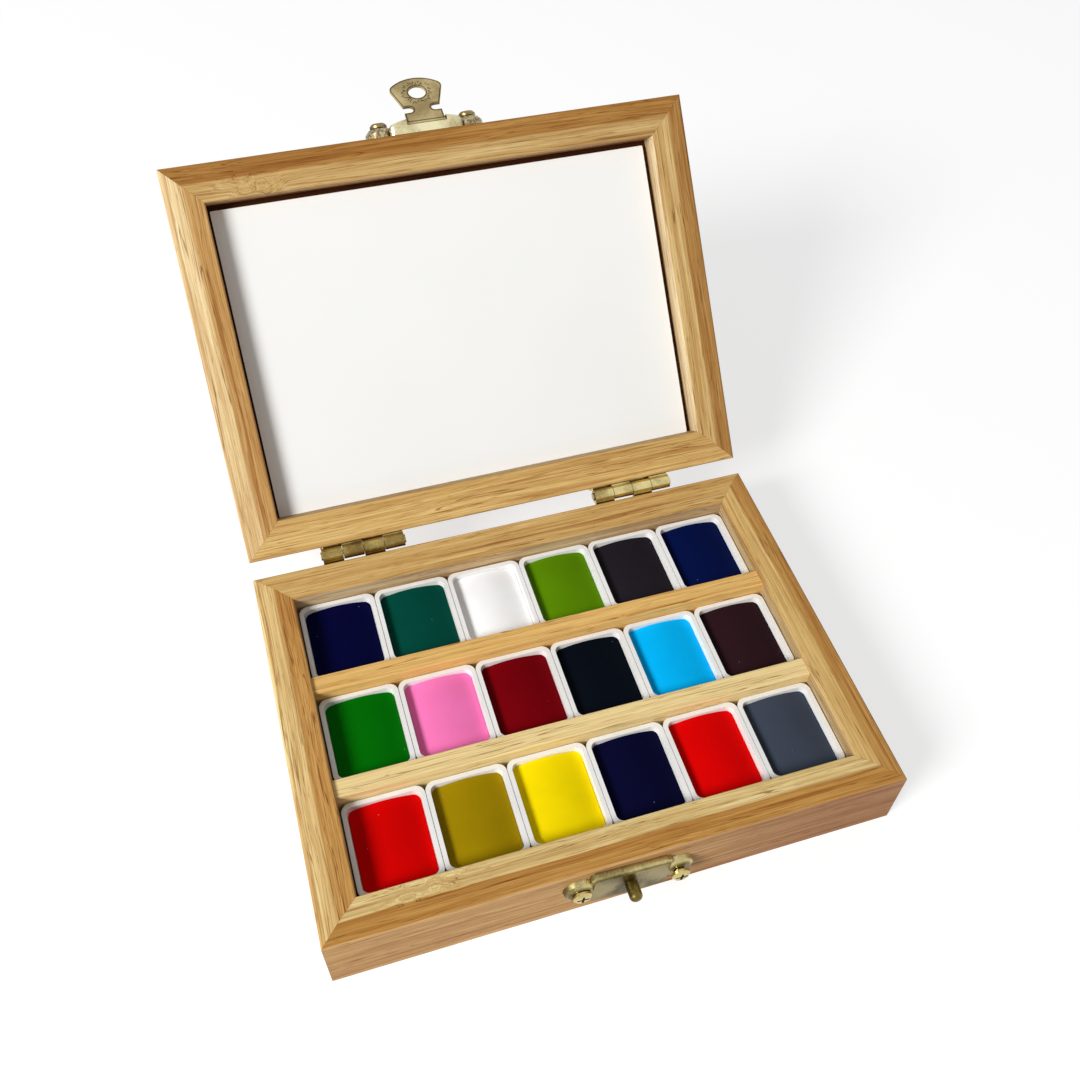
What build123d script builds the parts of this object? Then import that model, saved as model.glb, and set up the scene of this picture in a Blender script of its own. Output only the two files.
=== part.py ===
from build123d import *
import os
from math import atan2, cos, degrees, radians, sin, tan

# Watercolour box in bamboo: a tray with three rows of half pans, a framed lid with a
# white mixing panel, two brass hinges and a brass hasp, all as separate pieces.
# Millimetres. Origin: centre of the underside. +X right, +Y to the hinges, +Z up.
# The lid is drawn closed and then turned about the hinge pins to its open rest.

# Case
case_width = 111.5
case_depth = 81.4
rail_width = 7.5
base_edge_height = 16.1
ridge_rise = 0.4
edge_ease = 0.5
inner_ease = 0.35
foot_ease = 0.3
rebate_width = 2.5
floor_thickness = 3.0
divider_width = 4.0
divider_height = 15.5
divider_ease = 0.3

# Lid
seam_gap = 0.05
lid_thickness = 8.8
lid_rail_width = 7.7
lid_outer_ease = 1.0
lid_board_thickness = 3.2
recess_depth = 3.9
panel_gap_left = 0.45
panel_gap_right = 1.3
panel_gap_front = 1.3
panel_gap_back = 0.05
panel_corner = 0.3
lid_open_angle = 131.0

# Half pans and paint cakes
pan_columns = 6
pan_rows = ("back", "middle", "front")
pan_pitch_x = 16.0
pan_pitch_y = 23.4
pan_width = 15.9
pan_depth = 19.0
pan_height = 10.0
pan_draft = 0.4
pan_wall = 0.9
pan_floor = 1.0
pan_corner = 1.5
pan_foot_recess = 0.4
cake_gap = 0.1
cake_crown_drop = 0.6
cake_edge_drop = 2.1
cake_corner = 0.6

# Hinges
hinge_centres = (-31.7, 29.9)
hinge_length = 18.0
hinge_offset = 1.8
knuckle_count = 4
knuckle_radius = 1.5
knuckle_gap = 0.12
knuckle_clearance = 0.25
leaf_thickness = 0.7
leaf_height = 7.2
leaf_corner = 0.8
pin_radius = 0.55
pin_running_clearance = 0.05
pin_head_radius = 0.9
pin_head_thickness = 0.3
leaf_screw_spacing = 10.0
leaf_screw_drop = 4.7
leaf_screw_radius = 0.8
leaf_screw_head_radius = 1.5
leaf_screw_length = 5.0

# Clasp: two stamped plates, a swinging tongue and a post
hasp_x = -0.6
catch_x = 0.0
tongue_x = -0.35
sheet = 0.4
plate_length = 15.8
plate_corner = 1.3
plate_bevel = 0.55
hasp_height = 8.0
hasp_rise = 3.25
hasp_shoulder_rise = 2.0
hasp_ear_rise = 2.1
catch_height = 9.2
catch_rise = 1.6
catch_shoulder_rise = 1.5
catch_ear_rise = 1.5
ear_radius = 3.2
ear_shoulder_radius = 3.0
ear_top_radius = 2.2
ear_shoulder_ratio = 0.6
ear_spacing = 19.1
ear_hole_radius = 1.1
hasp_centre_z = 21.2
catch_centre_z = 9.4
catch_tilt = 4.4
hasp_screw_stand = (3.3, 3.3)
catch_screw_stand = (2.5, 3.1)
post_radius = 1.25
post_reach = 5.2
post_collar_radius = 1.7
post_collar_height = 0.12
clasp_screw_radius = 0.95
clasp_screw_head_radius = 1.8
clasp_screw_head_height = 0.9
clasp_screw_depth = 5.0
cross_width = 0.5
cross_depth = 0.45
pilot_ratio = 0.7
point_ratio = 0.3

# Tongue, measured along its length from its pivot bar
tongue_thickness = 0.5
tongue_pivot_out = 1.95
tongue_pivot_z = 18.1
tongue_bar_radius = 0.3
tongue_bar_length = 9.6
tongue_foot_width = 8.0
tongue_notch_centre = 3.75
tongue_notch_width = 1.8
tongue_neck_width = 3.8
tongue_waist_width = 7.9
tongue_waist = 4.65
tongue_shoulder_width = 11.6
tongue_shoulder = 10.3
tongue_tip = 12.85
tongue_corner = 1.5
tongue_hole = 8.6
tongue_hole_radius = 1.85
tongue_open_lean = 37.0
tongue_slot_width = 8.5
tongue_slot_clearance = 0.04

# Worked out from the dimensions above
half_width = case_width / 2
half_depth = case_depth / 2
opening_width = case_width - 2 * rail_width
ridge_z = base_edge_height + ridge_rise
lid_edge_z = ridge_z + seam_gap + ridge_rise
lid_top_z = lid_edge_z + lid_thickness
pivot_y = half_depth + hinge_offset
pivot_z = ridge_z + seam_gap / 2
knuckle_pitch = hinge_length / knuckle_count
pan_widening = -degrees(atan2(pan_draft, pan_height))
lid_axis = Axis((0, pivot_y, pivot_z), (1, 0, 0))
panel_face_z = lid_edge_z + recess_depth
board_inner_z = lid_top_z - lid_board_thickness


def opened(shape):
    """Turns a lid piece from its closed place to the open rest."""
    return shape.rotate(lid_axis, -lid_open_angle)


def polygon(*points):
    return make_face(Polyline(*points, close=True))


def eased(face, x, y, radius):
    """Rounds the corner of a section that lies at x, y."""
    corner = face.vertices().sort_by_distance((x, y, 0))[0]
    return fillet(corner, radius)


def base_rail_section():
    """Across a base rail: x in from the outer face, y up. A shallow ridge tops it."""
    inner = rail_width - rebate_width
    face = polygon(
        (0, 0),
        (inner, 0),
        (inner, floor_thickness),
        (rail_width, floor_thickness),
        (rail_width, base_edge_height),
        (rail_width / 2, ridge_z),
        (0, base_edge_height),
    )
    face = eased(face, 0, base_edge_height, edge_ease)
    face = eased(face, rail_width, base_edge_height, inner_ease)
    return eased(face, 0, 0, foot_ease)


def lid_rail_section():
    """Across a lid rail, closed: the ridge faces down and the rebate holds the board."""
    inner = lid_rail_width - rebate_width
    face = polygon(
        (0, lid_edge_z),
        (lid_rail_width / 2, lid_edge_z - ridge_rise),
        (lid_rail_width, lid_edge_z),
        (lid_rail_width, board_inner_z),
        (inner, board_inner_z),
        (inner, lid_top_z),
        (0, lid_top_z),
    )
    face = eased(face, 0, lid_edge_z, edge_ease)
    face = eased(face, lid_rail_width, lid_edge_z, inner_ease)
    return eased(face, 0, lid_top_z, lid_outer_ease)


def mitred_rail(section, width, length, offset, turn):
    """A rail of that section along the front, mitred at both ends, then turned about Z."""
    across = Plane(origin=(-length / 2, -offset, 0), x_dir=(0, 1, 0), z_dir=(1, 0, 0))
    bar = extrude(across * section, length)
    inner_half = length / 2 - width
    plan = polygon(
        (-length / 2, -offset),
        (length / 2, -offset),
        (inner_half, width - offset),
        (-inner_half, width - offset),
    )
    return Rot(0, 0, turn) * (bar & extrude(plan, lid_top_z + 1))


def frame_rails(section, width):
    """Four mitred rails of one section, by side."""
    return {
        "front": mitred_rail(section, width, case_width, half_depth, 0),
        "back": mitred_rail(section, width, case_width, half_depth, 180),
        "left": mitred_rail(section, width, case_depth, half_width, -90),
        "right": mitred_rail(section, width, case_depth, half_width, 90),
    }


def board(thickness, low_z, rail):
    """A board that fills the rebate of a frame with rails of that width."""
    border = 2 * (rail - rebate_width)
    low = Pos(0, 0, low_z + thickness / 2)
    return low * Box(case_width - border, case_depth - border, thickness)


def divider(centre_y):
    """A bar between two rows of pans, standing on the floor between the side rails."""
    half = divider_width / 2
    face = polygon(
        (centre_y - half, floor_thickness),
        (centre_y + half, floor_thickness),
        (centre_y + half, divider_height),
        (centre_y - half, divider_height),
    )
    face = eased(face, centre_y - half, divider_height, divider_ease)
    face = eased(face, centre_y + half, divider_height, divider_ease)
    across = Plane(origin=(-opening_width / 2, 0, 0), x_dir=(0, 1, 0), z_dir=(1, 0, 0))
    return extrude(across * face, opening_width)


def mixing_panel():
    """The loose white panel: it has slid down to the hinge side of its recess."""
    width = case_width - 2 * lid_rail_width - panel_gap_left - panel_gap_right
    depth = case_depth - 2 * lid_rail_width - panel_gap_front - panel_gap_back
    thickness = board_inner_z - panel_face_z
    centre_x = (panel_gap_left - panel_gap_right) / 2
    centre_y = (panel_gap_front - panel_gap_back) / 2
    plan = Pos(centre_x, centre_y, panel_face_z) * RectangleRounded(width, depth, panel_corner)
    return extrude(plan, thickness)


def pan_section(height, inset, corner):
    """The pan's outline at a height over its foot, drawn in by its draft and an inset."""
    taper = pan_draft * (1 - height / pan_height)
    width = pan_width - 2 * (taper + inset)
    depth = pan_depth - 2 * (taper + inset)
    return Pos(0, 0, height) * RectangleRounded(width, depth, corner)


def half_pan():
    """A moulded pan: drafted walls and a thin floor over a shallow foot recess."""
    inner_corner = pan_corner - pan_wall / 2
    body = extrude(pan_section(0, 0, pan_corner), pan_height, taper=pan_widening)
    cavity = pan_section(pan_floor, pan_wall, inner_corner)
    body -= extrude(cavity, pan_height - pan_floor, taper=pan_widening)
    border = 2 * (pan_draft + 2 * pan_wall)
    foot = Box(pan_width - border, pan_depth - border, 2 * pan_foot_recess)
    return body - foot


def paint_cake():
    """The paint in a pan: a pressed block that fills it, arched from side to side."""
    half = pan_width / 2
    edge_z = pan_height - cake_edge_drop
    crown_z = pan_height - cake_crown_drop
    sides = Polyline((half, edge_z), (half, pan_floor), (-half, pan_floor), (-half, edge_z))
    crown = ThreePointArc((-half, edge_z), (0, crown_z), (half, edge_z))
    across = Plane(origin=(0, pan_depth / 2, 0), x_dir=(1, 0, 0), z_dir=(0, -1, 0))
    arch = extrude(across * make_face(Curve() + [sides, crown]), pan_depth)
    foot = pan_section(pan_floor, pan_wall + cake_gap, cake_corner)
    return arch & extrude(foot, pan_height - pan_floor, taper=pan_widening)


def leaf_holes(side):
    """Countersunk screw holes of a hinge leaf; side is -1 below the pin and 1 above."""
    holes = []
    for x in (-leaf_screw_spacing / 2, leaf_screw_spacing / 2):
        place = Pos(x, leaf_thickness / 2, side * leaf_screw_drop) * Rot(90, 0, 0)
        holes.append(place * Cone(leaf_screw_head_radius, leaf_screw_radius, leaf_thickness))
    return holes


def hinge_leaf(side, first_knuckle):
    """A leaf with every second knuckle; y = 0 is the wood and z = 0 the pin."""
    foot = knuckle_radius + knuckle_clearance
    middle = side * (leaf_height + foot) / 2
    plan = Plane.XZ * Pos(0, middle) * RectangleRounded(
        hinge_length, leaf_height - foot, leaf_corner
    )
    leaf = extrude(plan, -leaf_thickness)
    bore = pin_radius + (pin_running_clearance if side > 0 else 0)
    for index in range(first_knuckle, knuckle_count, 2):
        x = (index + 0.5) * knuckle_pitch - hinge_length / 2
        width = knuckle_pitch - knuckle_gap
        tab_height = foot + leaf_corner
        tab = Pos(x, leaf_thickness / 2, side * tab_height / 2) * Box(
            width, leaf_thickness, tab_height
        )
        barrel = Rot(0, 90, 0) * Cylinder(knuckle_radius, width)
        leaf += tab + Pos(x, hinge_offset, 0) * barrel
    leaf -= Pos(0, hinge_offset, 0) * Rot(0, 90, 0) * Cylinder(bore, 2 * hinge_length)
    for hole in leaf_holes(side):
        leaf -= hole
    return leaf


def hinge_pin():
    """The pin through all four knuckles, with a flat head peened at each end."""
    end = hinge_length / 2 - knuckle_gap / 2
    pin = Cylinder(pin_radius, 2 * end)
    head = Cylinder(pin_head_radius, pin_head_thickness)
    for side in (-1, 1):
        pin += Pos(0, 0, side * (end + pin_head_thickness / 2)) * head
    return Pos(0, hinge_offset, 0) * Rot(0, 90, 0) * pin


def cross_recess(top_z, radius):
    """The cross cut in the top of a screw head."""
    low = Pos(0, 0, top_z - cross_depth / 2)
    return low * (Box(radius, cross_width, cross_depth) + Box(cross_width, radius, cross_depth))


def tapered_shank(radius, length, top_z):
    """A screw's shank down from a height, drawn in to a blunt point."""
    return Pos(0, 0, top_z - length / 2) * Cone(point_ratio * radius, radius, length)


def leaf_screw():
    """A flat-headed screw; its head's face is at z = 0."""
    sink = Pos(0, 0, -leaf_thickness / 2) * Cone(
        leaf_screw_radius, leaf_screw_head_radius, leaf_thickness
    )
    shank = tapered_shank(leaf_screw_radius, leaf_screw_length, -leaf_thickness)
    return sink + shank - cross_recess(0, leaf_screw_head_radius)


def clasp_screw(stand):
    """A domed screw; z = 0 is the wood, and its head's top stands that far out."""
    head = Cylinder(clasp_screw_head_radius, clasp_screw_head_height)
    head = chamfer(head.edges().group_by(Axis.Z)[-1], 0.5 * clasp_screw_head_height)
    head = Pos(0, 0, stand - clasp_screw_head_height / 2) * head
    neck_top = stand - clasp_screw_head_height
    shank = tapered_shank(clasp_screw_radius, neck_top + clasp_screw_depth, neck_top)
    return head + shank - cross_recess(stand, 1.3 * clasp_screw_head_radius)


def rear_face_place(x, z):
    """A place on the rear face at a height, whose z runs straight back."""
    return Pos(x, half_depth, z) * Rot(-90, 0, 0)


def leaf_screw_places(side):
    places = []
    for centre in hinge_centres:
        for x in (-leaf_screw_spacing / 2, leaf_screw_spacing / 2):
            height = pivot_z + side * leaf_screw_drop
            places.append(rear_face_place(centre + x, height) * Pos(0, 0, leaf_thickness))
    return places


def hasp_plane():
    """The plane of the hasp plate on the closed lid: x right, y up, z outwards."""
    return Plane(origin=(hasp_x, -half_depth, hasp_centre_z), x_dir=(1, 0, 0), z_dir=(0, -1, 0))


def catch_plane():
    """The plane of the catch plate, which was screwed on a little askew."""
    lean = radians(catch_tilt)
    return Plane(
        origin=(catch_x, -half_depth, catch_centre_z),
        x_dir=(cos(lean), 0, -sin(lean)),
        z_dir=(0, -1, 0),
    )


def clasp_screw_places(plane):
    return [plane * Pos(side * ear_spacing / 2, 0, 0) for side in (-1, 1)]


def ear_dome(side, rise, inset):
    """The round, domed ear at one end of a plate, or with an inset the hollow under it."""
    top = rise - inset
    shoulder = ear_shoulder_ratio * top
    half_section = polygon(
        (0, 0),
        (ear_radius - inset, 0),
        (ear_shoulder_radius - inset, shoulder),
        (ear_top_radius - inset, top),
        (0, top),
    )
    dome = revolve(Plane.XZ * half_section, Axis.Z)
    return Pos(side * ear_spacing / 2, 0, 0) * dome


def bridge(height, shoulder_rise, rise, inset):
    """The raised middle of a plate, arched from end to end, or the hollow under it."""
    end = plate_length / 2 - inset
    shoulder = shoulder_rise - inset
    sides = Polyline((-end, shoulder), (-end, 0), (end, 0), (end, shoulder))
    arch = ThreePointArc((-end, shoulder), (0, rise - inset), (end, shoulder))
    section = Plane.XZ * make_face(Curve() + [sides, arch])
    body = extrude(section, height / 2 - inset, both=True)
    return fillet(body.edges().filter_by(Axis.Z), plate_corner - inset / 2)


def clasp_plate(height, shoulder_rise, rise, ear_rise):
    """A stamped plate: a raised, hollow middle with a domed ear at each end."""
    body = bridge(height, shoulder_rise, rise, 0)
    crown = body.faces().sort_by(Axis.Z)[-1]
    body = chamfer(crown.edges(), plate_bevel)
    hollow = bridge(height, shoulder_rise, rise, sheet)
    for side in (-1, 1):
        body += ear_dome(side, ear_rise, 0)
        hollow += ear_dome(side, ear_rise, sheet)
        hollow += Pos(side * ear_spacing / 2, 0) * Cylinder(ear_hole_radius, 4 * ear_rise)
    return body - hollow


def hasp_plate():
    """The lid's plate, with the slot that its tongue swings in."""
    seam_edge = -hasp_height / 2
    reach = hasp_rise - tongue_pivot_out
    lean = radians(tongue_open_lean)
    behind = reach * tan(lean) + tongue_thickness / 2 / cos(lean) + tongue_slot_clearance
    slot_end = tongue_pivot_z - hasp_centre_z + behind
    slot_low = tongue_pivot_out - tongue_thickness / 2 - tongue_slot_clearance
    length = slot_end - seam_edge + 1
    place = Pos(tongue_x - hasp_x, slot_end - length / 2, slot_low + hasp_rise / 2)
    slot = place * Box(tongue_slot_width, length, hasp_rise)
    return clasp_plate(hasp_height, hasp_shoulder_rise, hasp_rise, hasp_ear_rise) - slot


def tongue():
    """The swinging tongue: pivot bar, foot, notched neck and holed fan, flat in XY."""
    half_shoulder = tongue_shoulder_width / 2
    half_waist = tongue_waist_width / 2
    sides = Polyline(
        (-half_shoulder, tongue_shoulder),
        (-half_waist, tongue_waist),
        (-tongue_foot_width / 2, tongue_waist - tongue_notch_width),
        (-tongue_foot_width / 2, 0),
        (tongue_foot_width / 2, 0),
        (tongue_foot_width / 2, tongue_waist - tongue_notch_width),
        (half_waist, tongue_waist),
        (half_shoulder, tongue_shoulder),
    )
    crown = ThreePointArc(
        (half_shoulder, tongue_shoulder), (0, tongue_tip), (-half_shoulder, tongue_shoulder)
    )
    fan = make_face(Curve() + [sides, crown])
    fan = eased(fan, -half_shoulder, tongue_shoulder, tongue_corner)
    fan = eased(fan, half_shoulder, tongue_shoulder, tongue_corner)
    fan -= Pos(0, tongue_hole) * Circle(tongue_hole_radius)
    for side in (-1, 1):
        start = tongue_neck_width / 2 + tongue_notch_width / 2
        notch = SlotCenterToCenter(2 * tongue_foot_width, tongue_notch_width)
        fan -= Pos(side * (start + tongue_foot_width), tongue_notch_centre) * notch
    blade = extrude(fan, tongue_thickness / 2, both=True)
    bar = Rot(0, 90, 0) * Cylinder(tongue_bar_radius, tongue_bar_length)
    return blade + bar


def tongue_plane():
    """The tongue's place on the closed lid, leaning back against the end of its slot."""
    lean = radians(tongue_open_lean)
    return Plane(
        origin=(tongue_x, -half_depth - tongue_pivot_out, tongue_pivot_z),
        x_dir=(1, 0, 0),
        z_dir=(0, -sin(lean), -cos(lean)),
    )


def catch_post():
    """The round-ended post that the tongue drops over, riveted in the catch plate."""
    collar = Pos(0, 0, catch_rise + post_collar_height / 2) * Cone(
        post_collar_radius, post_radius, post_collar_height
    )
    shank = Pos(0, 0, post_reach / 2) * Cylinder(post_radius, post_reach)
    shank = fillet(shank.edges().group_by(Axis.Z)[-1], 0.8 * post_radius)
    return shank + collar


def catch_plate():
    plate = clasp_plate(catch_height, catch_shoulder_rise, catch_rise, catch_ear_rise)
    return plate - Cylinder(post_radius, 2 * post_reach)


def pilot_holes(places, radius, depth):
    """Holes for screws along -z of each place."""
    return [place * Pos(0, 0, -depth / 2) * Cylinder(radius, depth) for place in places]


def drill(rails, side, holes):
    for hole in holes:
        rails[side] -= hole


def base_frame():
    rails = frame_rails(base_rail_section(), rail_width)
    leaf_radius = pilot_ratio * leaf_screw_radius
    drill(rails, "back", pilot_holes(leaf_screw_places(-1), leaf_radius, leaf_screw_length))
    clasp_radius = pilot_ratio * clasp_screw_radius
    places = clasp_screw_places(catch_plane())
    drill(rails, "front", pilot_holes(places, clasp_radius, clasp_screw_depth))
    return rails


def lid_frame():
    """The lid's rails, closed."""
    rails = frame_rails(lid_rail_section(), lid_rail_width)
    leaf_radius = pilot_ratio * leaf_screw_radius
    drill(rails, "back", pilot_holes(leaf_screw_places(1), leaf_radius, leaf_screw_length))
    clasp_radius = pilot_ratio * clasp_screw_radius
    places = clasp_screw_places(hasp_plane())
    drill(rails, "front", pilot_holes(places, clasp_radius, clasp_screw_depth))
    return rails


def clasp_screws(plane, stands):
    return [place * clasp_screw(stand) for place, stand in zip(clasp_screw_places(plane), stands)]


def case_pieces():
    pieces = {f"base_{side}_rail": rail for side, rail in base_frame().items()}
    pieces["base_floor_panel"] = board(floor_thickness, 0, rail_width)
    pieces["divider_rear"] = divider(pan_pitch_y / 2)
    pieces["divider_front"] = divider(-pan_pitch_y / 2)
    return pieces


def lid_pieces():
    pieces = {f"lid_{side}_rail": opened(rail) for side, rail in lid_frame().items()}
    outer_board = board(lid_board_thickness, board_inner_z, lid_rail_width)
    pieces["lid_outer_board"] = opened(outer_board)
    pieces["mixing_panel"] = opened(mixing_panel())
    return pieces


def hinge_pieces():
    pieces = {}
    pins = []
    for name, centre in zip(("left", "right"), hinge_centres):
        place = Pos(centre, half_depth, pivot_z)
        pieces[f"{name}_hinge_base_leaf"] = place * hinge_leaf(-1, 0)
        pieces[f"{name}_hinge_lid_leaf"] = opened(place * hinge_leaf(1, 1))
        pins.append(place * hinge_pin())
    pieces["hinge_pins"] = Compound(children=pins)
    return pieces


def clasp_pieces():
    return {
        "hasp_plate": opened(hasp_plane() * hasp_plate()),
        "hasp_tongue": opened(tongue_plane() * tongue()),
        "catch_plate": catch_plane() * catch_plate(),
        "catch_post": catch_plane() * catch_post(),
    }


def screw_pieces():
    base = [place * leaf_screw() for place in leaf_screw_places(-1)]
    base += clasp_screws(catch_plane(), catch_screw_stand)
    lid = [opened(place * leaf_screw()) for place in leaf_screw_places(1)]
    lid += [opened(screw) for screw in clasp_screws(hasp_plane(), hasp_screw_stand)]
    return {"base_screws": Compound(children=base), "lid_screws": Compound(children=lid)}


def paint_pieces():
    """Eighteen pans and their cakes, counted from the left in each row."""
    pan = half_pan()
    cake = paint_cake()
    pieces = {}
    for row, row_name in enumerate(pan_rows):
        y = (1 - row) * pan_pitch_y
        for column in range(pan_columns):
            x = (column - (pan_columns - 1) / 2) * pan_pitch_x
            place = Pos(x, y, floor_thickness)
            pieces[f"half_pan_{row_name}_{column + 1}"] = place * pan
            pieces[f"paint_{row_name}_{column + 1}"] = place * cake
    return pieces


def write_pieces(pieces):
    os.makedirs("parts", exist_ok=True)
    for name, piece in pieces.items():
        export_step(piece, f"parts/{name}.step")


for group in (case_pieces, lid_pieces, hinge_pieces, clasp_pieces, screw_pieces, paint_pieces):
    write_pieces(group())
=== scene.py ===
from math import cos, radians, sin, tau
from random import Random

import bpy
import bmesh
from mathutils import Euler, Matrix, Vector


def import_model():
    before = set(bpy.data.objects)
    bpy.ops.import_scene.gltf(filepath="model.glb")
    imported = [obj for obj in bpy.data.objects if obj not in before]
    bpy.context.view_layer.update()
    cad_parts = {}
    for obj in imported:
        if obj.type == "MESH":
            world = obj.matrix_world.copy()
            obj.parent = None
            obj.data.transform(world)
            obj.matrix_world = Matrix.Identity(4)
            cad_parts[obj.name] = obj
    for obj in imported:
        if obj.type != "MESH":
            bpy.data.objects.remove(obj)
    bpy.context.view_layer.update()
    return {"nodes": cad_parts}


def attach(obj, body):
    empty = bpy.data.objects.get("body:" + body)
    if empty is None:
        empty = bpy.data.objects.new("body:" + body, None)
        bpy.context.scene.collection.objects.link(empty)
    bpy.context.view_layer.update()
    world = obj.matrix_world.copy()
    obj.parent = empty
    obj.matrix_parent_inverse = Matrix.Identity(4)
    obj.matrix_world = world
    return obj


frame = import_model()

# ---- Measures of the box, in millimetres, in the closed box's own places -------------------------

MM = 0.001
HALF_LENGTH = 55.75            # half of the case, along X
HALF_DEPTH = 40.7              # half of the case, along Y
BASE_RAIL = 7.5                # widths of the rails; a ridge runs along the middle of each
LID_RAIL = 7.7
EDGE_EASE = 0.5                # the eased outer edges of the rails
LID_BOARD = 22.55              # the board's inner face
OPEN_ANGLE = 131.0
PIVOT = (0.0, 42.5, 16.525)
TONGUE_PIVOT = (-0.35, -42.65, 18.1)
TONGUE_LEAN = 37.0             # degrees, at the open rest
TONGUE_HALF = 0.25             # half of the tongue's thickness
TONGUE_HOLE = 8.6              # from the pivot bar to the middle of its hole
HASP_MIDDLE = -0.6             # the hasp plate's middle along X

# ---- The photograph's camera, in metres, degrees and millimetres of lens -------------------------

CAMERA_PLACE = (-0.04327, -0.11580, 0.21184)
CAMERA_TURN = (39.182, -1.642, -17.457)
CAMERA_LENS = 38.22
CAMERA_SHIFT = (-0.01646, -0.00564)
SENSOR = 36.0

# ---- Light, in metres and watts ------------------------------------------------------------------

KEY_FROM = (-0.7345, -0.379, 0.562)   # read from the shadows on the floor and in the lid
KEY_DISTANCE = 1.8
KEY_SIZE = 0.66
KEY_POWER = 34.4
AMBIENT = 0.26                 # the world as it lights the box; the camera sees it as 1
FLOOR_GLOW = 0.69              # the floor as the camera sees it: a glow and a lit white
FLOOR_WHITE = 0.40
FLOOR_BOUNCE = 0.80            # the floor as it lights the box
FLOOR_HALF = 3.0


def linear(red, green, blue):
    """An sRGB colour, 0 to 255, as Blender's linear colour."""
    def channel(value):
        value /= 255
        return value / 12.92 if value <= 0.04045 else ((value + 0.055) / 1.055) ** 2.4
    return channel(red), channel(green), channel(blue), 1.0


# ---- Small helpers that build shader nodes -------------------------------------------------------

class Shader:
    """A material's node tree, with short calls for the nodes that the finishes here share."""

    def __init__(self, name):
        self.material = bpy.data.materials.new(name)
        self.material.use_nodes = True
        self.nodes = self.material.node_tree.nodes
        self.links = self.material.node_tree.links
        self.surface = self.nodes["Principled BSDF"]

    def node(self, kind, **settings):
        made = self.nodes.new(kind)
        for name, value in settings.items():
            setattr(made, name, value)
        return made

    def feed(self, socket, value):
        """Joins a socket to another one, or writes a plain value on it."""
        if isinstance(value, bpy.types.NodeSocket):
            self.links.new(value, socket)
        else:
            socket.default_value = value

    def set(self, **sockets):
        """Sets sockets of the surface shader: Base_Color=..., Roughness=..."""
        for name, value in sockets.items():
            self.feed(self.surface.inputs[name.replace("_", " ")], value)

    def places(self, lid=False):
        """Places in millimetres. Those of the lid are turned back to the closed box."""
        source = self.node("ShaderNodeTexCoord")
        mapping = self.node("ShaderNodeMapping")
        mapping.inputs["Scale"].default_value = (1 / MM, 1 / MM, 1 / MM)
        if lid:
            turn = Matrix.Rotation(radians(OPEN_ANGLE), 3, "X")
            pivot = Vector(PIVOT)
            mapping.inputs["Rotation"].default_value = (radians(OPEN_ANGLE), 0, 0)
            mapping.inputs["Location"].default_value = pivot - turn @ pivot
        self.links.new(source.outputs["Object"], mapping.inputs["Vector"])
        return mapping.outputs["Vector"]

    def split(self, vector):
        made = self.node("ShaderNodeSeparateXYZ")
        self.feed(made.inputs[0], vector)
        return made.outputs

    def join(self, x, y, z):
        made = self.node("ShaderNodeCombineXYZ")
        for socket, value in zip(made.inputs, (x, y, z)):
            self.feed(socket, value)
        return made.outputs[0]

    def math(self, operation, first, second=0.0, third=0.0):
        made = self.node("ShaderNodeMath", operation=operation)
        for socket, value in zip(made.inputs, (first, second, third)):
            self.feed(socket, value)
        return made.outputs[0]

    def noise(self, vector, scale=1.0, detail=2.0, roughness=0.5, distortion=0.0):
        made = self.node("ShaderNodeTexNoise")
        self.feed(made.inputs["Vector"], vector)
        self.feed(made.inputs["Scale"], scale)
        self.feed(made.inputs["Detail"], detail)
        self.feed(made.inputs["Roughness"], roughness)
        self.feed(made.inputs["Distortion"], distortion)
        return made.outputs["Fac"]

    def cells(self, vector, scale):
        made = self.node("ShaderNodeTexVoronoi")
        self.feed(made.inputs["Vector"], vector)
        self.feed(made.inputs["Scale"], scale)
        return made.outputs

    def step(self, value, start, end, low=0.0, high=1.0):
        """A smooth step from low, at start, to high, at end."""
        made = self.node("ShaderNodeMapRange", interpolation_type="SMOOTHSTEP")
        for name, number in (("Value", value), ("From Min", start), ("From Max", end),
                             ("To Min", low), ("To Max", high)):
            self.feed(made.inputs[name], number)
        return made.outputs["Result"]

    def mix(self, share, first, second, blend="MIX"):
        made = self.node("ShaderNodeMix", data_type="RGBA", blend_type=blend)
        self.feed(made.inputs["Factor"], share)
        self.feed(made.inputs[6], first)
        self.feed(made.inputs[7], second)
        return made.outputs[2]

    def stain(self, colour, amount, share, tint):
        """A colour multiplied by a tint, as strongly as an amount times a share."""
        return self.mix(self.math("MULTIPLY", amount, share), colour, tint, "MULTIPLY")

    def bump(self, height, strength, distance):
        made = self.node("ShaderNodeBump")
        made.inputs["Strength"].default_value = strength
        made.inputs["Distance"].default_value = distance * MM
        self.feed(made.inputs["Height"], height)
        self.links.new(made.outputs["Normal"], self.surface.inputs["Normal"])


# ---- Bamboo --------------------------------------------------------------------------------------

def tones(*colours):
    return tuple(linear(*colour) for colour in colours)


LINE_TINT = linear(150, 108, 62)
THREAD_TINT = linear(176, 140, 96)
FIBRE_DARK = linear(226, 208, 180)
FIBRE_LIGHT = linear(255, 253, 247)
STREAK_TINT = linear(196, 150, 96)
PORE_TINT = linear(168, 128, 86)
FRONT_FACE_FAR = linear(185, 144, 108)   # the front face darkens to the right

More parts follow.
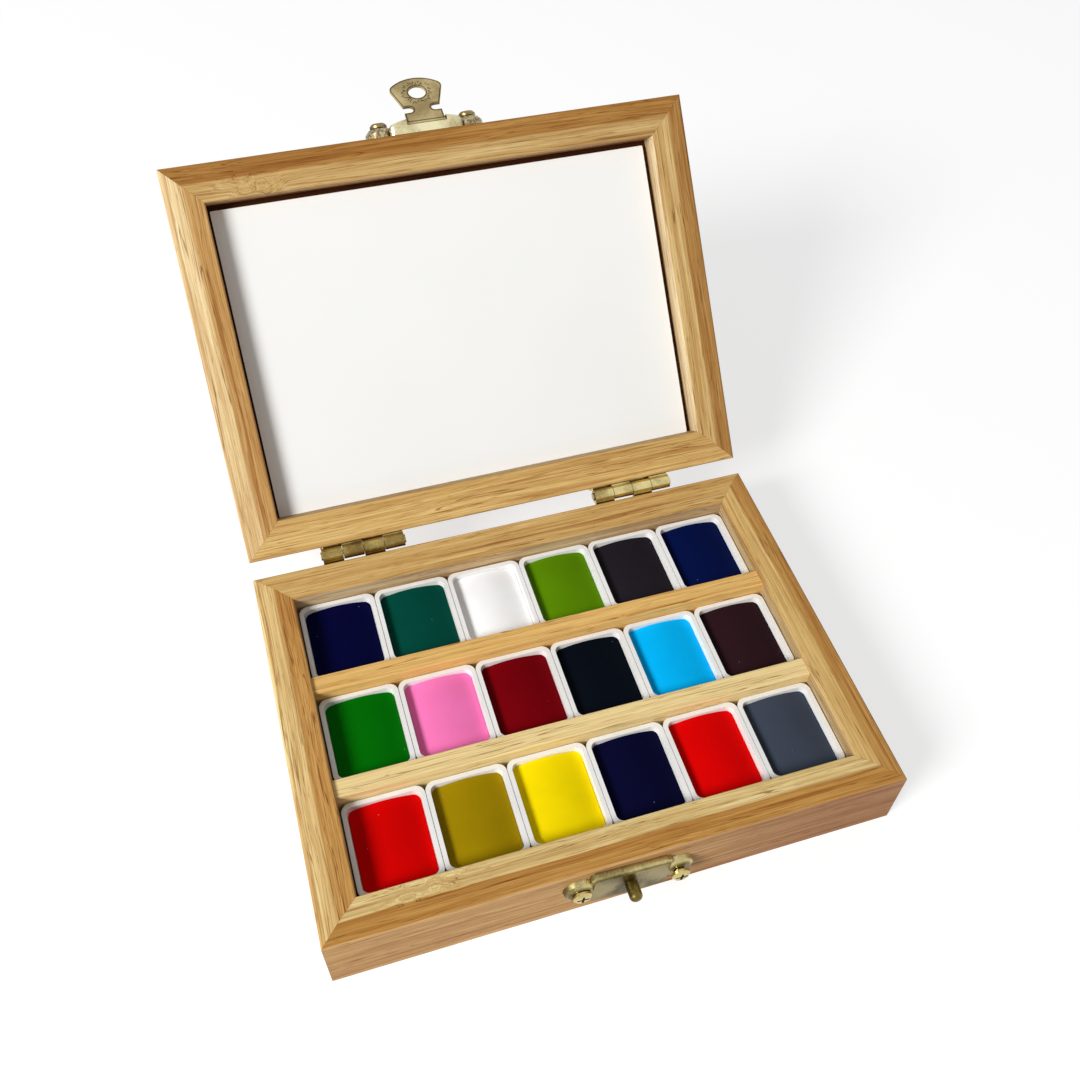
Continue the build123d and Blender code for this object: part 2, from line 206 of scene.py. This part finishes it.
# Lengths in millimetres. A pair says where a change starts and where it ends.
FAR_FACE_SPAN = (-10.0, 45.0)  # along the rail, from the near face's tint to the far one's
KNOT_REACH = (1.5, 9.0)        # from a knot along the rail, until its bend is gone
MITRE_LINE = (0.02, 0.09)      # from the mitre, until its hair line is gone
OUTER_BLEND = (0.02, EDGE_EASE / 2)   # inside the rail's outer face
RIDGE_BLEND = 0.30             # to each side of the ridge
WALL_BLEND = (0.15, 0.02)      # before the rail's inner wall
GAP_SHADE_BLEND = 0.05               # above the height of the painted shade on the lid's board

# Tones of each rail: outside and inside the ridge, on the outer face and on the inner wall.
# On the side rails they are partly the bamboo's own tones and partly painted light and shade:
# the halves and faces turned towards the lamp are painted lighter, those turned away darker.
RAIL_LIT_AND_SHADED_TONES = {
    "base_front_rail": tones((206, 161, 94), (254, 237, 182), (223, 190, 143), (222, 205, 176)),
    "base_back_rail": tones((242, 213, 152), (232, 203, 144), (226, 188, 126), (222, 205, 176)),
    "base_left_rail": tones((251, 230, 177), (235, 191, 123), (240, 210, 152), (206, 191, 158)),
    "base_right_rail": tones((221, 177, 110), (242, 218, 160), (208, 166, 124), (206, 191, 158)),
    "lid_front_rail": tones((191, 149, 89), (220, 195, 143), (200, 146, 78), (218, 188, 152)),
    "lid_back_rail": tones((239, 213, 153), (229, 200, 140), (226, 188, 126), (216, 197, 153)),
    "lid_left_rail": tones((248, 232, 193), (227, 191, 135), (246, 218, 164), (222, 186, 140)),
    "lid_right_rail": tones((198, 157, 99), (226, 203, 151), (214, 168, 104), (239, 232, 209)),
}
BOARD_TONES = tones((226, 188, 126), (240, 210, 152))
GAP_PAINTED_SHADE = linear(96, 68, 50)            # painted shade on the lid board's inner face, seen only in the gap beside the panel
DIVIDER_TONES = {
    "divider_rear": tones((254, 215, 140), (248, 208, 134)),
    "divider_front": tones((255, 238, 180), (255, 232, 172)),
}


def bamboo(name, along_x, tints, lid=False, seed=0.0,
           knot=None, far_face=None, depth=1.0, gap=None):
    """Lacquered bamboo whose fibres run along X or Y.

    Four tints are those of a rail: its outer half, inner half, outer face and inner wall; on the
    side rails they are partly painted light and shade. Two are those that a board or a bar shifts
    between. A knot is a place along the rail, where the fibres bend in the inner half. A far face
    is the outer face's tint at the rail's right end. The depth is how strongly the fibres show.
    The last argument is the height below which a board is painted dark, as painted shade in the
    gap beside the panel.
    """
    rail = len(tints) == 4
    width = LID_RAIL if lid else BASE_RAIL
    ridge = width / 2
    s = Shader(name)
    x, y, z = s.split(s.places(lid))
    along, across = (x, y) if along_x else (y, x)
    half = HALF_DEPTH if along_x else HALF_LENGTH
    from_edge = s.math("SUBTRACT", half, s.math("ABSOLUTE", across))

    # The fibres run nearly straight, and bend near a knot.
    waver = s.noise(s.join(s.math("MULTIPLY", along, 0.03), s.math("MULTIPLY", across, 0.12), z),
                    1.0, 1.0)
    shift = s.math("MULTIPLY", s.math("SUBTRACT", waver, 0.5), 1.6)
    if knot is not None:
        off_knot = s.math("SUBTRACT", along, knot)
        near = s.math("MULTIPLY",
                      s.step(s.math("ABSOLUTE", off_knot), *KNOT_REACH, 1.0, 0.0),
                      s.step(from_edge, ridge - 1.0, ridge + 1.2))
        curl = s.noise(s.join(s.math("MULTIPLY", along, 0.24), s.math("MULTIPLY", across, 0.34), z),
                       1.0, 0.0)
        bend = s.math("MULTIPLY", near, s.math("SUBTRACT", curl, 0.5))
        shift = s.math("ADD", shift, s.math("MULTIPLY", bend, 4.5))
    lane = s.math("ADD", s.math("ADD", across, shift), seed)
    level = s.math("ADD", z, shift)

    def fibres(stretch, density, detail=2.0):
        """Noise drawn out along the rail, density times per millimetre across it."""
        return s.noise(s.join(s.math("MULTIPLY", along, stretch),
                              s.math("MULTIPLY", lane, density),
                              s.math("MULTIPLY", level, density)), 1.0, detail)

    def middle_line(noise, start, end):
        """1 where a noise has its middle value, fading to 0 as it moves off it."""
        off = s.math("ABSOLUTE", s.math("SUBTRACT", noise, 0.5))
        return s.step(off, start, end, 1.0, 0.0)

    broad = fibres(0.008, 0.30, 1.0)
    medium = fibres(0.022, 1.1, 1.0)
    fine = fibres(0.05, 3.4, 2.0)
    hair = fibres(0.12, 8.0, 1.0)
    lines = fibres(0.012, 0.62, 2.0)
    threads = fibres(0.018, 1.5, 1.0)
    streaks = fibres(0.016, 0.8, 2.0)
    pores = fibres(0.30, 5.5, 0.0)

    if rail:
        wander = s.math("MULTIPLY", s.math("SUBTRACT", medium, 0.5), 1.0)
        place = s.math("ADD", from_edge, wander)
        face = tints[2]
        if far_face is not None:
            face = s.mix(s.step(along, *FAR_FACE_SPAN), face, far_face)
        # The rail's tints go on across the ridge, the outer face and the inner wall; on the side
        # rails they carry painted light and shade.
        colour = s.mix(s.step(place, ridge - RIDGE_BLEND, ridge + RIDGE_BLEND), tints[0], tints[1])
        colour = s.mix(s.step(from_edge, *OUTER_BLEND, 1.0, 0.0), colour, face)
        start, end = (width - before for before in WALL_BLEND)
        colour = s.mix(s.step(from_edge, start, end), colour, tints[3])
    else:
        colour = s.mix(s.step(broad, 0.35, 0.65), tints[0], tints[1])
    for layer, dark, light, share in ((broad, 0.35, 0.65, 0.55), (medium, 0.36, 0.64, 0.55),
                                      (fine, 0.34, 0.62, 0.65), (hair, 0.35, 0.65, 0.45)):
        tone = s.mix(s.step(layer, dark, light), FIBRE_DARK, FIBRE_LIGHT)
        colour = s.mix(share * depth, colour, tone, "MULTIPLY")

    # Soft brown streaks, thin dark lines where a drawn-out noise has its middle value, and pores.
    streak = s.step(streaks, 0.56, 0.70)
    line = s.math("MULTIPLY", middle_line(lines, 0.002, 0.013), s.step(fine, 0.38, 0.55))
    thread = middle_line(threads, 0.004, 0.020)
    pore = s.step(pores, 0.70, 0.78)
    colour = s.stain(colour, streak, 0.55 * depth, STREAK_TINT)
    colour = s.stain(colour, line, 0.75, LINE_TINT)
    colour = s.stain(colour, thread, 0.45, THREAD_TINT)
    colour = s.stain(colour, pore, 0.40 * depth, PORE_TINT)

    if rail:
        # The mitre shows as a hair line where both edges are equally far.
        other_half = HALF_LENGTH if along_x else HALF_DEPTH
        end = s.math("SUBTRACT", other_half, s.math("ABSOLUTE", along))
        off_mitre = s.math("ABSOLUTE", s.math("SUBTRACT", end, from_edge))
        colour = s.mix(s.step(off_mitre, *MITRE_LINE, 0.35, 0.0), colour, LINE_TINT, "MULTIPLY")

    # Below that height the board's inner face is painted dark: painted shade in the gap beside the
    # panel.
    if gap is not None:
        colour = s.mix(s.step(z, gap, gap + GAP_SHADE_BLEND, 1.0, 0.0), colour, GAP_PAINTED_SHADE, "MULTIPLY")

    s.set(Base_Color=colour, Roughness=s.step(medium, 0.3, 0.7, 0.46, 0.60))
    s.surface.inputs["Specular IOR Level"].default_value = 0.10
    height = s.math("SUBTRACT", s.math("ADD", medium, s.math("MULTIPLY", fine, 0.7)),
                    s.math("ADD", s.math("MULTIPLY", line, 0.8), pore))
    s.bump(height, 0.30, 0.05)
    return s.material


# ---- Metal ---------------------------------------------------------------------------------------

FACE_PAINTED_REFLECTION = linear(176, 168, 132)
EAR_TINT = linear(112, 90, 62)
GRIME_AND_SHADE_TINT = linear(58, 44, 26)
FACE_REFLECTION_BLEND = 0.3               # millimetres over which the painted reflection on a plate's face comes in
EAR_REACH = (6.9, 7.9)         # from a plate's middle: where the ears' wear starts and is full
CREVICE_SHADE_REACH = 0.8                  # reach of the grime and painted shade in corners


def aged_brass(name, bright, dark, share, roughness, grime_and_shade=0.5, lid=False, face=None, ears=None):
    """Stamped brass with a mottled tarnish, rubbed bright in places, and darkened in its corners by
    grime and painted shade.

    A plate's face is painted darker from that distance off the wood on, a painted reflection of the
    darker wood, and its ears wear round that middle.
    """
    s = Shader(name)
    p = s.places(lid)
    mottle = s.noise(p, 0.16, 3.0, 0.5)
    speckle = s.noise(p, 2.2, 3.0, 0.6)
    x, y, z = s.split(p)
    drawn_out = s.join(s.math("MULTIPLY", x, 0.6), s.math("MULTIPLY", y, 5.0),
                       s.math("MULTIPLY", z, 5.0))
    scratch = s.noise(drawn_out, 1.0, 3.0)
    tarnish = s.step(s.math("ADD", s.math("MULTIPLY", mottle, 0.75),
                            s.math("MULTIPLY", speckle, 0.25)), share - 0.16, share + 0.16)
    colour = s.mix(tarnish, bright, dark)
    # Painted reflection: the plate's face, standing off the wood, is darkened as if it mirrored the
    # wood.
    if face is not None:
        stand = s.math("SUBTRACT", s.math("MULTIPLY", y, -1.0), HALF_DEPTH)
        colour = s.mix(s.step(stand, face, face + FACE_REFLECTION_BLEND), colour, FACE_PAINTED_REFLECTION, "MULTIPLY")
    if ears is not None:
        off = s.math("ABSOLUTE", s.math("SUBTRACT", x, ears))
        worn = s.math("MULTIPLY", s.step(off, *EAR_REACH), s.step(speckle, 0.30, 0.80, 1.0, 0.0))
        colour = s.mix(worn, colour, EAR_TINT, "MULTIPLY")
    # Corners and hollows darken: partly grime, partly painted shade.
    crevice_shade = s.node("ShaderNodeAmbientOcclusion", samples=8)
    crevice_shade.inputs["Distance"].default_value = CREVICE_SHADE_REACH * MM
    dirt_and_shade = s.step(crevice_shade.outputs["AO"], 0.35, 0.85, grime_and_shade, 0.0)
    colour = s.mix(dirt_and_shade, colour, GRIME_AND_SHADE_TINT)
    s.set(Base_Color=colour, Metallic=1.0,
          Roughness=s.step(tarnish, 0.0, 1.0, roughness, roughness + 0.16))
    height = s.math("ADD", s.math("MULTIPLY", speckle, 0.5), s.math("MULTIPLY", scratch, 0.3))
    s.bump(height, 0.20, 0.05)
    return s.material


# ---- Pans, paint and panel -----------------------------------------------------------------------

def pan_plastic():
    s = Shader("pan_plastic")
    p = s.places()
    tone = s.noise(p, 0.12, 2.0)
    colour = s.mix(s.step(tone, 0.3, 0.7), linear(240, 239, 236), linear(247, 246, 243))
    s.set(Base_Color=colour, Roughness=s.step(s.noise(p, 1.5, 2.0), 0.3, 0.7, 0.32, 0.42))
    s.surface.inputs["Specular IOR Level"].default_value = 0.4
    s.surface.inputs["Subsurface Weight"].default_value = 0.15
    s.surface.inputs["Subsurface Radius"].default_value = (1, 0.9, 0.8)
    s.surface.inputs["Subsurface Scale"].default_value = 0.6 * MM
    s.bump(s.noise(p, 3.0, 2.0), 0.08, 0.03)
    return s.material


def mixing_surface():
    s = Shader("white_panel")
    p = s.places(lid=True)
    tone = s.noise(p, 0.02, 2.0)
    colour = s.mix(s.step(tone, 0.3, 0.7), linear(243, 243, 240), linear(246, 246, 244))
    s.set(Base_Color=colour, Roughness=s.step(s.noise(p, 0.8, 3.0), 0.3, 0.7, 0.45, 0.55))
    s.surface.inputs["Specular IOR Level"].default_value = 0.3
    s.bump(s.noise(p, 1.2, 3.0), 0.05, 0.03)
    return s.material


PAINTS = {
    "back": ((5, 6, 52), (2, 70, 58), (254, 253, 252), (88, 134, 4), (33, 29, 35), (4, 17, 66)),
    "middle": ((2, 108, 6), (255, 126, 192), (116, 2, 12), (6, 12, 21), (4, 184, 252),
               (43, 23, 28)),
    "front": ((216, 3, 2), (158, 131, 6), (248, 221, 4), (8, 8, 43), (220, 3, 3), (63, 70, 84)),
}


def paint(name, tint, seed):
    """Dried watercolour: an even, satin cake with a skin, faint clouds and a few pale specks."""
    s = Shader(name)
    x, y, z = s.split(s.places())
    p = s.join(s.math("ADD", x, seed), s.math("ADD", y, seed * 0.37), z)
    base = linear(*tint)
    deeper = tuple(v * 0.96 for v in base[:3]) + (1.0,)
    lighter = tuple(min(v * 1.03, 1.0) for v in base[:3]) + (1.0,)
    cloud = s.noise(p, 0.10, 2.0, 0.5, 0.2)
    colour = s.mix(s.step(cloud, 0.35, 0.65), deeper, lighter)
    skin = s.noise(p, 1.1, 4.0, 0.6)
    grit = s.cells(p, 0.62)
    chosen = s.step(s.split(grit["Color"])[0], 0.87, 0.88)
    speck = s.math("MULTIPLY", s.step(grit["Distance"], 0.05, 0.075, 1.0, 0.0), chosen)
    pale = tuple(v * 0.45 + 0.30 for v in base[:3]) + (1.0,)
    colour = s.mix(s.math("MULTIPLY", speck, 0.55), colour, pale)
    s.set(Base_Color=colour, Roughness=s.step(skin, 0.3, 0.7, 0.50, 0.62))
    s.surface.inputs["Specular IOR Level"].default_value = 0.02
    height = s.math("ADD", s.math("MULTIPLY", skin, 0.5), s.math("MULTIPLY", speck, 0.6))
    s.bump(height, 0.18, 0.04)
    return s.material


# ---- Dressing the CAD nodes ----------------------------------------------------------------------

def wear(node, material):
    mesh = frame["nodes"][node].data
    mesh.materials.clear()
    mesh.materials.append(material)


def dress_wood():
    knots = {"base_front_rail": -37.0, "lid_front_rail": -38.0}
    far_faces = {"base_front_rail": FRONT_FACE_FAR}
    for number, (node, tints) in enumerate(RAIL_LIT_AND_SHADED_TONES.items()):
        along_x = "front" in node or "back" in node
        wear(node, bamboo("bamboo_" + node, along_x, tints, node.startswith("lid"),
                          seed=number * 17.3, knot=knots.get(node), far_face=far_faces.get(node)))
    for number, (node, tints) in enumerate(DIVIDER_TONES.items()):
        wear(node, bamboo("bamboo_" + node, True, tints, seed=200 + number * 31.7,
                          depth=0.6 - 0.2 * number))
    wear("base_floor_panel", bamboo("bamboo_floor", True, BOARD_TONES, seed=310))
    wear("lid_outer_board", bamboo("bamboo_lid_board", True, BOARD_TONES, lid=True, seed=370,
                                   gap=LID_BOARD))


def dress_metal():
    """The left hinge and the lid's screws are the darker ones. The two hinges are copies of one
    brass: the left one painted darker, as painted shade, and the right one lighter, as painted
    sheen.
    """
    # One hinge brass in two copies: painted shade on the left one, painted sheen on the right one.
    left = aged_brass("hinge_brass_left_painted_shade", linear(184, 164, 100), linear(118, 96, 52), 0.50, 0.17,
                      grime_and_shade=0.75)
    right = aged_brass("hinge_brass_right_painted_sheen", linear(220, 206, 146), linear(150, 130, 80), 0.54, 0.15,
                       grime_and_shade=0.75)
    hasp = aged_brass("hasp_brass", linear(236, 226, 184), linear(164, 150, 104), 0.56, 0.24,
                      lid=True, face=2.8, ears=HASP_MIDDLE)
    catch = aged_brass("catch_brass", linear(206, 192, 138), linear(112, 100, 60), 0.50, 0.26,
                       face=1.15)
    tongue = aged_brass("tongue_brass", linear(198, 180, 134), linear(150, 132, 92), 0.50, 0.42,
                        lid=True)
    base_screw = aged_brass("screw_brass", linear(208, 190, 128), linear(120, 96, 50), 0.55, 0.22)
    lid_screw = aged_brass("screw_brass_dull", linear(150, 130, 84), linear(84, 66, 38), 0.50, 0.30,
                           lid=True)
    worn_by = {
        "left_hinge_base_leaf": left, "left_hinge_lid_leaf": left,
        "right_hinge_base_leaf": right, "right_hinge_lid_leaf": right, "hinge_pins": right,
        "hasp_plate": hasp, "catch_plate": catch, "catch_post": catch, "hasp_tongue": tongue,
        "base_screws": base_screw, "lid_screws": lid_screw,
    }
    for node, brass in worn_by.items():
        wear(node, brass)


def dress_pans():
    plastic = pan_plastic()
    for row_number, (row, tints) in enumerate(PAINTS.items()):
        for number, tint in enumerate(tints):
            wear(f"half_pan_{row}_{number + 1}", plastic)
            name = f"paint_{row}_{number + 1}"
            wear(name, paint(name, tint, seed=row_number * 61.0 + number * 23.0))


# ---- Rim and marks of the tongue, in millimetres -------------------------------------------------

MARK_HEIGHT = 0.02             # proud of the tongue's face
MARK_WIDTH = 0.15
RIM_REACH = (0.10, 0.30)       # from the tongue's edges to the two sides of its rim line
STROKES = 34
STROKE_RING = (2.5, 3.3)       # from the middle of the hole
STROKE_LENGTH = (0.4, 1.0)
STROKE_STRAY = 0.2             # share of their spacing
STROKE_SKEW = 0.7              # radians
WELD = 0.001                   # vertices nearer than this are one
LEVEL = 0.01                   # how near its plane the upper face's parts lie
UPRIGHT = 0.99                 # the least upward part of the upper face's normals
TIGHTEST = 0.6                 # cosine that limits how far a sharp corner moves in


def tongue_place():
    """The tongue's own plane at the open rest: x across, y from its pivot bar to its tip."""
    lean = radians(TONGUE_LEAN)
    x, y, z = TONGUE_PIVOT
    closed = Matrix(((1, 0, 0, x), (0, -cos(lean), -sin(lean), y), (0, sin(lean), -cos(lean), z),
                     (0, 0, 0, 1)))
    pivot = Matrix.Translation(PIVOT)
    return pivot @ Matrix.Rotation(radians(-OPEN_ANGLE), 4, "X") @ pivot.inverted() @ closed


def face_edges(node, place):
    """Edge loops of the tongue's upper face, in its own plane, with the face at their left."""
    bm = bmesh.new()
    bm.from_mesh(frame["nodes"][node].data)
    bm.transform(place.inverted() @ Matrix.Scale(1 / MM, 4))
    bmesh.ops.remove_doubles(bm, verts=bm.verts, dist=WELD)
    bm.normal_update()
    top = {face for face in bm.faces if face.normal.z > UPRIGHT
           and abs(face.calc_center_median().z - TONGUE_HALF) < LEVEL}
    follow = {}
    for face in top:
        for corner in face.loops:
            if sum(other in top for other in corner.edge.link_faces) == 1:
                follow[corner.vert.index] = corner.link_loop_next.vert.index
    places = {vert.index: vert.co.to_2d() for vert in bm.verts}
    bm.free()
    loops = []
    while follow:
        first, vert = next(iter(follow.items()))
        chain = [first]
        follow.pop(first)
        while vert != first and vert in follow:
            chain.append(vert)
            vert = follow.pop(vert)
        loops.append([places[index] for index in chain])
    return loops


def drawn_in(points, distance):
    """A loop moved to its left by a distance."""
    moved = []
    for number, point in enumerate(points):
        into = (point - points[number - 1]).normalized()
        out = (points[(number + 1) % len(points)] - point).normalized()
        along = (into + out).normalized()
        widen = 1 / max(TIGHTEST, along.dot(out))
        moved.append(point + Vector((-along.y, along.x)) * distance * widen)
    return moved


def band(bm, outer, inner):
    """A closed band between two loops, sunk into the tongue's face and standing just proud."""
    levels = (TONGUE_HALF + MARK_HEIGHT, TONGUE_HALF - MARK_HEIGHT)
    rings = [[bm.verts.new((*point, level)) for point in loop]
             for loop, level in ((outer, levels[0]), (inner, levels[0]),
                                 (inner, levels[1]), (outer, levels[1]))]
    count = len(outer)
    for ring, after in zip(rings, rings[1:] + rings[:1]):
        for k in range(count):
            bm.faces.new((ring[k], ring[(k + 1) % count], after[(k + 1) % count], after[k]))


def tongue_marks():
    """The tongue's dark rim, and a plain ring of short strokes round its hole."""
    place = tongue_place()
    bm = bmesh.new()
    for loop in face_edges("hasp_tongue", place):
        band(bm, *[drawn_in(loop, reach) for reach in RIM_REACH])
    chance = Random(7)
    for number in range(STROKES):
        angle = tau * (number + chance.uniform(-STROKE_STRAY, STROKE_STRAY)) / STROKES
        radius = chance.uniform(*STROKE_RING)
        middle = Matrix.Translation((radius * cos(angle), TONGUE_HOLE + radius * sin(angle),
                                     TONGUE_HALF))
        turn = Matrix.Rotation(angle + chance.uniform(-STROKE_SKEW, STROKE_SKEW), 4, "Z")
        size = Matrix.Diagonal((chance.uniform(*STROKE_LENGTH), MARK_WIDTH, 2 * MARK_HEIGHT, 1))
        bmesh.ops.create_cube(bm, size=1.0, matrix=middle @ turn @ size)
    bmesh.ops.recalc_face_normals(bm, faces=bm.faces)
    bm.transform(Matrix.Scale(MM, 4) @ place)
    mesh = bpy.data.meshes.new("tongue_marks")
    bm.to_mesh(mesh)
    bm.free()
    piece = bpy.data.objects.new("tongue_marks", mesh)
    bpy.context.scene.collection.objects.link(piece)
    mesh.materials.append(aged_brass("mark_brass", linear(104, 92, 60), linear(66, 56, 34), 0.50,
                                     0.48, lid=True))
    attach(piece, "tongue")


# ---- Studio --------------------------------------------------------------------------------------

def seen_share(tree):
    """1 for rays from the camera, and for those that metal or glass reflects or lets through."""
    path = tree.nodes.new("ShaderNodeLightPath")
    total = path.outputs["Is Camera Ray"]
    for name in ("Is Glossy Ray", "Is Transmission Ray"):
        largest = tree.nodes.new("ShaderNodeMath")
        largest.operation = "MAXIMUM"
        tree.links.new(total, largest.inputs[0])
        tree.links.new(path.outputs[name], largest.inputs[1])
        total = largest.outputs[0]
    return total


def floor():
    mesh = bpy.data.meshes.new("floor")
    corners = [(x * FLOOR_HALF, y * FLOOR_HALF, 0) for x, y in ((-1, -1), (1, -1), (1, 1), (-1, 1))]
    mesh.from_pydata(corners, [], [(0, 1, 2, 3)])
    piece = bpy.data.objects.new("floor", mesh)
    bpy.context.scene.collection.objects.link(piece)
    material = bpy.data.materials.new("floor_white")
    material.use_nodes = True
    tree = material.node_tree
    tree.nodes.clear()
    plain = tree.nodes.new("ShaderNodeBsdfDiffuse")
    plain.inputs["Color"].default_value = (FLOOR_BOUNCE, FLOOR_BOUNCE, FLOOR_BOUNCE, 1)
    shaded = tree.nodes.new("ShaderNodeBsdfDiffuse")
    shaded.inputs["Color"].default_value = (FLOOR_WHITE, FLOOR_WHITE, FLOOR_WHITE, 1)
    glow = tree.nodes.new("ShaderNodeEmission")
    glow.inputs["Strength"].default_value = FLOOR_GLOW
    both = tree.nodes.new("ShaderNodeAddShader")
    choice = tree.nodes.new("ShaderNodeMixShader")
    output = tree.nodes.new("ShaderNodeOutputMaterial")
    tree.links.new(shaded.outputs[0], both.inputs[0])
    tree.links.new(glow.outputs[0], both.inputs[1])
    tree.links.new(seen_share(tree), choice.inputs[0])
    tree.links.new(plain.outputs[0], choice.inputs[1])
    tree.links.new(both.outputs[0], choice.inputs[2])
    tree.links.new(choice.outputs[0], output.inputs["Surface"])
    mesh.materials.append(material)


def world():
    made = bpy.data.worlds.new("studio")
    made.use_nodes = True
    tree = made.node_tree
    back = tree.nodes["Background"]
    brightness = tree.nodes.new("ShaderNodeMapRange")
    brightness.inputs["To Min"].default_value = AMBIENT
    brightness.inputs["To Max"].default_value = 1.0
    tree.links.new(seen_share(tree), brightness.inputs["Value"])
    tree.links.new(brightness.outputs[0], back.inputs["Strength"])
    back.inputs["Color"].default_value = (1, 1, 1, 1)
    bpy.context.scene.world = made


def key_light():
    lamp = bpy.data.lights.new("key", "AREA")
    lamp.shape = "DISK"
    lamp.size = KEY_SIZE
    lamp.energy = KEY_POWER
    piece = bpy.data.objects.new("key", lamp)
    direction = Vector(KEY_FROM).normalized()
    piece.location = direction * KEY_DISTANCE
    piece.rotation_euler = direction.to_track_quat("Z", "Y").to_euler()
    bpy.context.scene.collection.objects.link(piece)


def camera():
    data = bpy.data.cameras.new("camera")
    data.sensor_width = SENSOR
    data.lens = CAMERA_LENS
    data.shift_x, data.shift_y = CAMERA_SHIFT
    data.clip_start = 0.01
    piece = bpy.data.objects.new("camera", data)
    piece.location = CAMERA_PLACE
    piece.rotation_euler = Euler([radians(angle) for angle in CAMERA_TURN])
    bpy.context.scene.collection.objects.link(piece)
    bpy.context.scene.camera = piece


dress_wood()
dress_metal()
dress_pans()
wear("mixing_panel", mixing_surface())
tongue_marks()
floor()
world()
key_light()
camera()
bpy.context.scene.view_settings.view_transform = "Standard"
